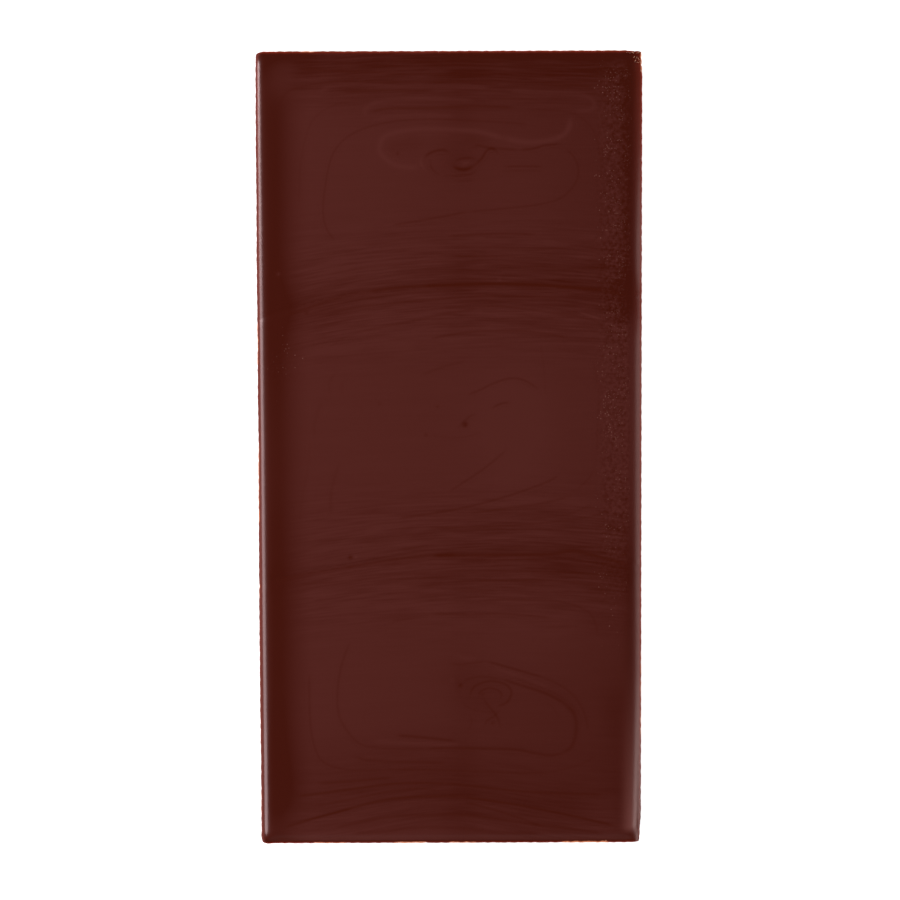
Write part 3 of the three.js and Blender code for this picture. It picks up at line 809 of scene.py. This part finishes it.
def backlit_rim_glow(x, y):
    """Painted backlit glow: 1 at the thin flash round the outline, 0 a little way in; wider along the sides
    than at the ends.
    """
    side = HALF_WIDTH - np.abs(x)
    end = HALF_LENGTH - np.abs(y)
    side_width = np.where(x > 0, SIDE_RIM["right"], SIDE_RIM["left"])
    end_width = np.where(y > 0, END_RIM["far"], END_RIM["near"])
    warm_side = np.where(x > 0, band(side, *RIGHT_WARMTH), 0)
    warm_end = np.where(y < 0, band(end, *NEAR_WARMTH), 0)
    warm = np.maximum(warm_side, warm_end)
    return np.maximum(np.maximum(bell(side, side_width), warm), bell(end, end_width))


def placed(x, y, inset, radius, wear=1.0, raggedness=1.0):
    """Points of the plain rectangle moved into the outline, set in by inset, with its corners rounded."""
    edge = np.maximum(np.abs(x) / HALF_WIDTH, np.abs(y) / HALF_LENGTH) ** PULL_POWER
    pull = inset + wear * pulled_in(x, y, raggedness) * edge
    half_x, half_y = HALF_WIDTH - pull, HALF_LENGTH - pull
    px, py = x * half_x / HALF_WIDTH, y * half_y / HALF_LENGTH
    over_x, over_y = np.abs(px) - (half_x - radius), np.abs(py) - (half_y - radius)
    corner = (over_x > 0) & (over_y > 0)
    scale = np.where(corner, np.maximum(over_x, over_y) / np.maximum(np.hypot(over_x, over_y), 1e-9), 1)
    cx = np.sign(px) * (half_x - radius + over_x * scale)
    cy = np.sign(py) * (half_y - radius + over_y * scale)
    return np.where(corner, cx, px), np.where(corner, cy, py)


def spline(points):
    """Places a fixed step apart along a smooth curve through the points."""
    p = np.array(points, float)
    p = np.vstack([2 * p[0] - p[1], p, 2 * p[-1] - p[-2]])
    made = []
    for a, b, c, d in zip(p, p[1:], p[2:], p[3:]):
        count = max(2, int(np.hypot(*(c - b)) / LINE_STEP))
        t = np.linspace(0, 1, count, endpoint=False)[:, None]
        bend = (2 * a - 5 * b + 4 * c - d) * t**2 + (3 * b - a - 3 * c + d) * t**3
        made.append(b + ((c - a) * t + bend) / 2)
    return np.vstack([*made, p[-2:-1]])


def offset_from(track, x, y):
    """Signed distance from a track, and how far along it the nearest place is, for each point."""
    ahead = np.gradient(track, axis=0)
    ahead /= np.hypot(ahead[:, 0], ahead[:, 1])[:, None]
    gap = (x[:, None] - track[:, 0]) ** 2 + (y[:, None] - track[:, 1]) ** 2
    near = gap.argmin(1)
    dx, dy = x - track[near, 0], y - track[near, 1]
    side = ahead[near, 0] * dy - ahead[near, 1] * dx
    past = ahead[near, 0] * dx + ahead[near, 1] * dy
    lengths = np.concatenate([[0], np.cumsum(np.hypot(*np.diff(track, axis=0).T))])
    return side, lengths[near] + past, lengths[-1]


def flow_layers(lines, x, y):
    """Each layer holds lines that lie well apart: a signed distance in half widths, and a strength."""
    layers = []
    for strength, half_width, points in lines:
        track, reach = spline(placed_on_bar(points)), line_reach(half_width)
        for layer in layers:
            if lies_apart(track, reach, layer):
                break
        else:
            layer = {"tracks": [], "offset": np.full(len(x), FAR_OFF), "strength": np.zeros(len(x))}
            layers.append(layer)
        layer["tracks"].append((track, reach))
        low, high = track.min(0) - reach, track.max(0) + reach
        near = np.flatnonzero((x > low[0]) & (x < high[0]) & (y > low[1]) & (y < high[1]))
        side, along, length = offset_from(track, x[near], y[near])
        taper = min(LINE_TAPER, length / 2 + half_width)
        fade = smooth(-half_width, taper, along) * smooth(-half_width, taper, length - along)
        fade = fade * (1 - smooth(LINE_CORE * reach, reach, np.abs(side)))
        within = np.abs(side) < reach
        kept = near[within]
        layer["offset"][kept] = (side / half_width)[within]
        layer["strength"][kept] = (strength * fade)[within]
    for strength, radius, place in PINHOLES:
        place, reach = placed_on_bar([place]), line_reach(radius)
        layer = next(one for one in layers if lies_apart(place, reach, one))
        layer["tracks"].append((place, reach))
        away = np.hypot(x - place[0, 0], y - place[0, 1])
        kept = away < reach
        layer["offset"][kept] = away[kept] / radius
        layer["strength"][kept] = strength
    return layers


def line_reach(half_width):
    """How far from a line's middle its fields are written: past its edge, and two cells at least."""
    return LINE_HALF_WIDTHS * half_width + LINE_MARGIN


def placed_on_bar(points):
    """Readings from straight above, moved to their true places under the leaning camera."""
    x, y = np.array(points, float).T / TENTHS
    across = x * (1 - LEAN_TAPER * y) + LEAN_SLANT * y
    along = y + LEAN_SHIFT * (1 - (y / HALF_LENGTH) ** 2)
    return np.stack([across, along], axis=1)


def closest(track, other):
    gap = (track[:, None, :] - other[None, :, :]) ** 2
    return math.sqrt(gap.sum(2).min())


def lies_apart(track, reach, layer):
    return all(closest(track, other) > reach + other_reach for other, other_reach in layer["tracks"])


def side_levels(rim):
    """Inset, height and share of the foot's corner radius at each level from the rim down."""
    wall_top = rim - FLASH_THICKNESS - FLASH_UNDERCUT
    slope = math.tan(math.radians(DRAFT_DEG))
    levels = [(FLASH_DRAFT, rim - FLASH_THICKNESS, 0.0), (FLASH_OVERHANG, wall_top, WALL_TOP_SHARE)]
    for step in range(1, WALL_STEPS + 1):
        down = step / WALL_STEPS
        z = mixed(wall_top, FOOT_RADIUS, down)
        levels.append((FLASH_OVERHANG + (wall_top - z) * slope, z, mixed(WALL_TOP_SHARE, 1, down)))
    wall_foot = levels[-1][0]
    for step in range(1, FOOT_STEPS + 1):
        angle = step / FOOT_STEPS * math.pi / 2
        inset = wall_foot + FOOT_RADIUS * (1 - math.cos(angle))
        levels.append((inset, FOOT_RADIUS * (1 - math.sin(angle)), 1.0))
    return levels


def grid_places():
    columns, rows = graded(-HALF_WIDTH, HALF_WIDTH), graded(-HALF_LENGTH, HALF_LENGTH)
    return columns, rows, *(part.ravel() for part in np.meshgrid(columns, rows))


def highest_point():
    x, y = grid_places()[2:]
    return back_height(x, y).max()


def make_bar():
    """The bar: a fine grid for the back, its edge carried down the sides, and a flat underside."""
    columns, rows, x, y = grid_places()
    radius = corner_radius(x, y)
    px, py = placed(x, y, 0, radius)
    height = back_height(x, y)
    height += THICKNESS - height.max()

    bm = bmesh.new()
    bmesh.ops.create_grid(bm, x_segments=len(columns) - 1, y_segments=len(rows) - 1, size=1.0)
    spot = bm.verts.layers.int.new("spot")
    for index, vert in enumerate(bm.verts):
        vert[spot] = index
        vert.co = (px[index] * MM, py[index] * MM, height[index] * MM)

    edges = [edge for edge in bm.edges if edge.is_boundary]
    for edge in edges:
        edge.smooth = False
    for level in range(len(side_levels(THICKNESS))):
        made = bmesh.ops.extrude_edge_only(bm, edges=edges)["geom"]
        edges = [item for item in made if isinstance(item, bmesh.types.BMEdge)]
        verts = [item for item in made if isinstance(item, bmesh.types.BMVert)]
        for vert in verts:
            index = vert[spot]
            inset, z, share = side_levels(height[index])[level]
            reach = radius[index] + (FOOT_CORNER_RADIUS - radius[index]) * share
            wear, raggedness = (WALL_WEAR, 0.0) if level else (1.0, 1.0)
            wx, wy = placed(x[index], y[index], inset, reach, wear, raggedness)
            vert.co = (wx * MM, wy * MM, z * MM)

    bmesh.ops.edgeloop_fill(bm, edges=edges)
    bmesh.ops.recalc_face_normals(bm, faces=bm.faces)
    for face in bm.faces:
        face.smooth = len(face.verts) == 4

    bar = finished("chocolate_bar_back_up", bm)
    bar.data.materials.append(chocolate_material(store_fields(bar.data, x, y)))
    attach(bar, "root")
    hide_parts(BAR)


def finished(name, bm):
    """An object of this name with the bmesh's shape."""
    mesh = bpy.data.meshes.new(name)
    bm.to_mesh(mesh)
    bm.free()
    made = bpy.data.objects.new(name, mesh)
    bpy.context.collection.objects.link(made)
    return made


def store_fields(mesh, x, y):
    """Vertex attributes that the material reads; gives back how many layers of flow lines there are."""
    lines = [*SEAM_LINES, *FAR_POOL_LINES, *MIDDLE_POOL_LINES, *NEAR_POOL_LINES]
    layers = flow_layers(lines, x, y)
    for number, layer in enumerate(layers, 1):
        values = np.stack([layer["offset"], layer["strength"], np.zeros(len(x))], axis=1)
        store(mesh, f"flow_{number}", values, (FAR_OFF, 0, 0))
    # The tone paints the back's sheen and shade
    store(mesh, "tone", tone_field(x, y), MOULDED_TONE)
    # Painted backlit glow of the thin flash
    store(mesh, "rim", backlit_rim_glow(x, y))
    # Painted highlight over the smear, and painted reflection on the left edge's ledge
    painted_sheen = smear_share(y) * smooth(*SMEAR_PAINTED_HAZE, HALF_WIDTH - x) ** SMEAR_PAINTED_HAZE_POWER
    store(mesh, "painted_sheen", np.maximum(painted_sheen, band(x + HALF_WIDTH, *LEFT_LEDGE_PAINTED_SHEEN)))
    # Painted backlit glow of broken flash
    store(mesh, "sliver", sliver_field(x, y))
    store(mesh, "speckle", speckle_field(x, y))
    stream, strength = stream_field(x, y)
    store(mesh, "stream", stream)
    store(mesh, "streaks", strength)
    return len(layers)


def store(mesh, name, values, beside=0.0):
    """Numbers or vectors of the back's vertices; those of the sides and the underside all take beside."""
    full = np.full((len(mesh.vertices), *values.shape[1:]), beside, np.float32)
    full[: len(values)] = values
    kind, key = ("FLOAT_VECTOR", "vector") if values.ndim > 1 else ("FLOAT", "value")
    mesh.attributes.new(name, kind, "POINT").data.foreach_set(key, full.ravel())


def feed(tree, node, inputs):
    for key, value in inputs.items():
        socket = node.inputs[key]
        if isinstance(value, bpy.types.NodeSocket):
            tree.links.new(value, socket)
        else:
            socket.default_value = value


def add(tree, kind, inputs=None, **settings):
    node = tree.nodes.new(kind)
    for name, value in settings.items():
        setattr(node, name, value)
    feed(tree, node, inputs or {})
    return node


def calc(tree, operation, *values):
    return add(tree, "ShaderNodeMath", dict(enumerate(values)), operation=operation).outputs[0]


def blend_colours(tree, factor, a, b):
    return add(tree, "ShaderNodeMix", {0: factor, 6: a, 7: b}, data_type="RGBA").outputs[2]


def flow_line_group():
    """Puts out how deep one layer of flow lines lies at a point."""
    group = bpy.data.node_groups.new("flow_line", "ShaderNodeTree")
    group.interface.new_socket("Layer", in_out="INPUT", socket_type="NodeSocketVector")
    group.interface.new_socket("Line", in_out="OUTPUT", socket_type="NodeSocketFloat")
    given = add(group, "NodeGroupInput")
    split = add(group, "ShaderNodeSeparateXYZ", {0: given.outputs["Layer"]})
    squared = calc(group, "MULTIPLY", split.outputs[0], split.outputs[0])
    profile = calc(group, "POWER", math.e, calc(group, "MULTIPLY", squared, -1.0))
    line = calc(group, "MULTIPLY", profile, split.outputs[1])
    add(group, "NodeGroupOutput", {"Line": line})
    return group


def new_material(name):
    material = bpy.data.materials.new(name)
    material.use_nodes = True
    return material, material.node_tree


def chocolate_material(layer_count):
    material, tree = new_material("dark_chocolate")
    tree.nodes.clear()
    group = flow_line_group()
    total = None
    for number in range(1, layer_count + 1):
        layer = add(tree, "ShaderNodeAttribute", attribute_name=f"flow_{number}")
        line = add(tree, "ShaderNodeGroup", {}, node_tree=group)
        feed(tree, line, {"Layer": layer.outputs["Vector"]})
        total = line.outputs["Line"] if total is None else calc(tree, "ADD", total, line.outputs["Line"])
    dark = calc(tree, "MINIMUM", calc(tree, "MAXIMUM", total, 0.0), DEEPEST_LINE)
    pale = calc(tree, "MAXIMUM", calc(tree, "MULTIPLY", total, -1.0), 0.0)
    tone, rim, painted_sheen, sliver, speckle, streaks = (
        add(tree, "ShaderNodeAttribute", attribute_name=name).outputs["Fac"]
        for name in ("tone", "rim", "painted_sheen", "sliver", "speckle", "streaks")
    )
    stream = add(tree, "ShaderNodeAttribute", attribute_name="stream").outputs["Vector"]
    place = add(tree, "ShaderNodeTexCoord").outputs["Object"]

    broad, fine = (streak_noise(tree, stream, *kind) for kind in (BROAD_STREAKS, FINE_STREAKS))
    tone = calc(tree, "MULTIPLY_ADD", calc(tree, "ADD", broad, fine), streaks, tone)
    mottle = calc(tree, "SUBTRACT", noise(tree, place, MOTTLE_SCALE, 2.0), 0.5)
    mottle = calc(tree, "MULTIPLY", calc(tree, "MULTIPLY", mottle, speckle), MOTTLE_STRENGTH)
    tone = calc(tree, "ADD", tone, mottle)
    # The tone mixes in a painted overhead reflection and painted shade
    colour = blend_colours(tree, tone, DARK_CHOCOLATE, PAINTED_SHEEN_CHOCOLATE)
    # Flow lines, seam lines and pinholes: painted shade in grooves and pits, painted sheen on ridges
    colour = blend_colours(tree, calc(tree, "MULTIPLY", dark, PAINTED_SHADE_LINE_SHARE), colour, PAINTED_SHADE_LINE)
    colour = blend_colours(tree, calc(tree, "MULTIPLY", pale, PAINTED_SHEEN_LINE_SHARE), colour, PAINTED_SHEEN_LINE)
    # Painted glow of the thin flash lit from behind, round the rim
    colour = blend_colours(tree, rim, colour, BACKLIT_FLASH_GLOW)
    # Painted highlight over the smear, and painted reflection on the left edge's ledge
    colour = blend_colours(tree, calc(tree, "MULTIPLY", painted_sheen, SMEAR_PAINTED_HIGHLIGHT_SHARE), colour, SMEAR_PAINTED_HIGHLIGHT)
    colour = blend_colours(tree, specks(tree, place, speckle), colour, SPECK)
    # Painted glow where the broken flash is lit from behind
    broken = calc(tree, "MULTIPLY", noise(tree, place, BROKEN_SCALE, 3.0), sliver)
    colour = blend_colours(tree, sharpened(tree, broken, BROKEN_EDGE), colour, BACKLIT_SLIVER_GLOW)
    smudge = noise(tree, place, SMUDGE_SCALE, 3.0)
    raised = calc(tree, "MULTIPLY", total, -1.0)
    bump = add(tree, "ShaderNodeBump", {"Height": raised, "Distance": LINE_RELIEF_M})
    shader = add(tree, "ShaderNodeBsdfPrincipled", {
        "Base Color": colour,
        "Roughness": calc(tree, "MULTIPLY_ADD", smudge, ROUGHNESS_SPREAD, ROUGHNESS),
        "Specular Tint": SPECULAR_TINT,
        "Normal": bump.outputs["Normal"],
    })
    add(tree, "ShaderNodeOutputMaterial", {"Surface": shader.outputs[0]})
    return material


def noise(tree, place, scale, detail):
    return add(tree, "ShaderNodeTexNoise", {"Vector": place, "Scale": scale, "Detail": detail}).outputs["Fac"]


def sharpened(tree, value, edge):
    """The value stretched so that edge runs from 0 to 1."""
    return add(tree, "ShaderNodeMapRange", {0: value, 1: edge[0], 2: edge[1]}).outputs[0]


def streak_noise(tree, stream, scale, detail, strength):
    """Noise drawn out along the flow, about zero."""
    settings = {"Vector": stream, "Scale": scale, "Detail": detail, "Roughness": STREAK_ROUGHNESS}
    drawn = add(tree, "ShaderNodeTexNoise", settings)
    return calc(tree, "MULTIPLY", calc(tree, "SUBTRACT", drawn.outputs["Fac"], 0.5), strength)


def specks(tree, place, density):
    """Fine pale specks of uneven size, crowded where density is high."""
    crowd = sharpened(tree, noise(tree, place, CROWD_SCALE, 3.0), CROWD_EDGE)
    share = calc(tree, "MULTIPLY", calc(tree, "MULTIPLY", crowd, density), SPECK_SHARE)
    cells = add(tree, "ShaderNodeTexVoronoi", {"Vector": place, "Scale": SPECK_SCALE})
    chance = add(tree, "ShaderNodeSeparateColor", {0: cells.outputs["Color"]})
    size = calc(tree, "MULTIPLY_ADD", chance.outputs[1], SPECK_SIZE_SPREAD, SPECK_SIZE)
    dot = sharpened(tree, cells.outputs["Distance"], (size, SPECK_CORE))
    dot = calc(tree, "MULTIPLY", dot, calc(tree, "LESS_THAN", chance.outputs[0], share))
    return calc(tree, "MULTIPLY", dot, calc(tree, "POWER", chance.outputs[2], SPECK_UNEVENNESS))


def floor_material():
    material, tree = new_material("pale_floor")
    feed(tree, tree.nodes["Principled BSDF"], {
        "Base Color": FLOOR_GREY,
        "Roughness": FLOOR_ROUGHNESS,
        "Emission Color": WHITE,
        "Emission Strength": FLOOR_GLOW,
    })
    return material


def crumb_material():
    material, tree = new_material("broken_chocolate")
    place = add(tree, "ShaderNodeTexCoord").outputs["Object"]
    patch = sharpened(tree, noise(tree, place, CRUMB_NOISE_SCALE, 2.0), CRUMB_NOISE_EDGE)
    feed(tree, tree.nodes["Principled BSDF"], {
        "Base Color": blend_colours(tree, patch, CRUMB_SHADE, CRUMB_LIGHT),
        "Roughness": CRUMB_ROUGHNESS,
    })
    return material


def make_crumbs():
    """Small broken bits: uneven lumps, part sunk in the back."""
    rng = random.Random(CRUMB_SEED)
    lift = THICKNESS - highest_point()
    bm = bmesh.new()
    for middle, spread, count, size in CRUMB_PATCHES:
        for _ in range(count):
            radius = size * rng.uniform(*CRUMB_SIZES)
            x, y = (m + rng.uniform(-1, 1) * s for m, s in zip(middle, spread))
            z = lift + float(back_height(np.array(x), np.array(y))) + CRUMB_LIFT * radius
            turn = Euler([rng.uniform(0, 6) for _ in range(3)]).to_matrix().to_4x4()
            length, width = rng.uniform(*CRUMB_LENGTHS), rng.uniform(*CRUMB_WIDTHS)
            shape = Matrix.Diagonal((length, width, CRUMB_HEIGHT, 1))
            place = Matrix.Translation(Vector((x, y, z)) * MM) @ turn @ shape
            made = bmesh.ops.create_icosphere(bm, subdivisions=1, radius=radius * MM, matrix=place)["verts"]
            for vert in made:
                vert.co += Vector([rng.uniform(-CRUMB_DENT, CRUMB_DENT) * radius * MM for _ in range(3)])
    crumbs = finished("chip_crumbs", bm)
    crumbs.data.materials.append(crumb_material())
    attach(crumbs, "root")


def make_floor():
    bm = bmesh.new()
    bmesh.ops.create_grid(bm, x_segments=1, y_segments=1, size=FLOOR_HALF_SIZE_M)
    bmesh.ops.translate(bm, verts=bm.verts, vec=(0, 0, -FLOOR_GAP * MM))
    floor = finished("floor", bm)
    floor.data.materials.append(floor_material())


def panel(name, place, target, size, power, colour):
    """A soft light of size (wide, high) metres at place, facing target."""
    light = bpy.data.lights.new(name, "AREA")
    light.shape = "RECTANGLE"
    light.size, light.size_y = size
    light.energy = power
    light.color = colour
    lamp = bpy.data.objects.new(name, light)
    lamp.location = place
    lamp.rotation_euler = (Vector(target) - Vector(place)).to_track_quat("-Z", "Y").to_euler()
    bpy.context.collection.objects.link(lamp)


def light_the_bar():
    """Pale at the horizon and dim overhead, with strips on the left and softer panels on the right."""
    world = bpy.data.worlds.new("studio")
    world.use_nodes = True
    tree = world.node_tree
    facing = add(tree, "ShaderNodeTexCoord").outputs["Generated"]
    height = add(tree, "ShaderNodeSeparateXYZ", {0: facing}).outputs[2]
    low, high = HORIZON_EDGE
    glow = add(tree, "ShaderNodeMapRange", {0: height, 1: low, 2: high, 3: HORIZON_GLOW, 4: OVERHEAD_GLOW})
    feed(tree, tree.nodes["Background"], {"Color": WHITE, "Strength": glow.outputs[0]})
    bpy.context.scene.world = world
    for lamp in LAMPS:
        panel(*lamp)


def make_camera():
    data = bpy.data.cameras.new("camera")
    data.lens = LENS
    data.sensor_width = SENSOR_WIDTH
    camera = bpy.data.objects.new("camera", data)
    turn = Euler((math.radians(CAMERA_LEAN_DEG), 0, math.radians(CAMERA_TURN_DEG)), "XYZ")
    back = turn.to_matrix() @ Vector((0, 0, 1))
    camera.location = (Vector(CAMERA_AIM) + back * CAMERA_DISTANCE) * MM
    camera.rotation_euler = turn
    bpy.context.collection.objects.link(camera)
    bpy.context.scene.camera = camera


make_bar()
make_crumbs()
make_floor()
light_the_bar()
make_camera()
bpy.context.scene.view_settings.view_transform = "Standard"
